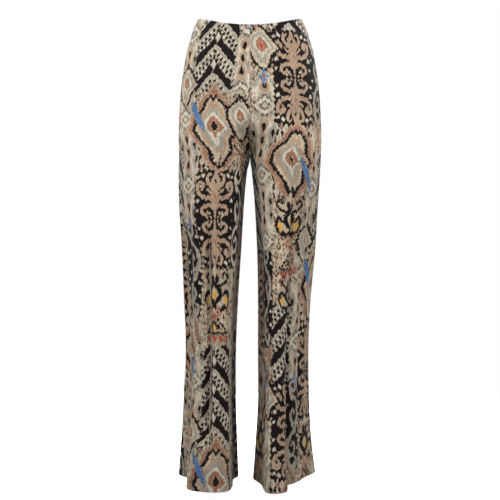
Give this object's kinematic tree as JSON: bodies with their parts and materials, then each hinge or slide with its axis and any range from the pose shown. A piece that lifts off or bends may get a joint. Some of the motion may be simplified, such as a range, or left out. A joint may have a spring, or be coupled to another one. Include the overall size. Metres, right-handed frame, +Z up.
{
  "type": "palazzo pants",
  "caption": "Pull-on wide-leg palazzo pants in printed jersey, hollow as worn, with a turned-in elastic waist, softly folded legs and turned-up hems.",
  "frame": {"origin": "centre of the waist opening, level with the waist edge at the side seams", "axes": "+Z up the body, out of the waist; -Y the wearer's front; +X the wearer's left"},
  "size_m": [0.3328, 0.2632, 1.066],
  "materials": {
    "printed_jersey": "matt jersey, printed in plum black, cream, grey, tan, terracotta, red, yellow and blue"
  },
  "bodies": {
    "root": {"front_right": "printed_jersey", "front_left": "printed_jersey", "back_right": "printed_jersey", "back_left": "printed_jersey"}
  },
  "joints": []
}
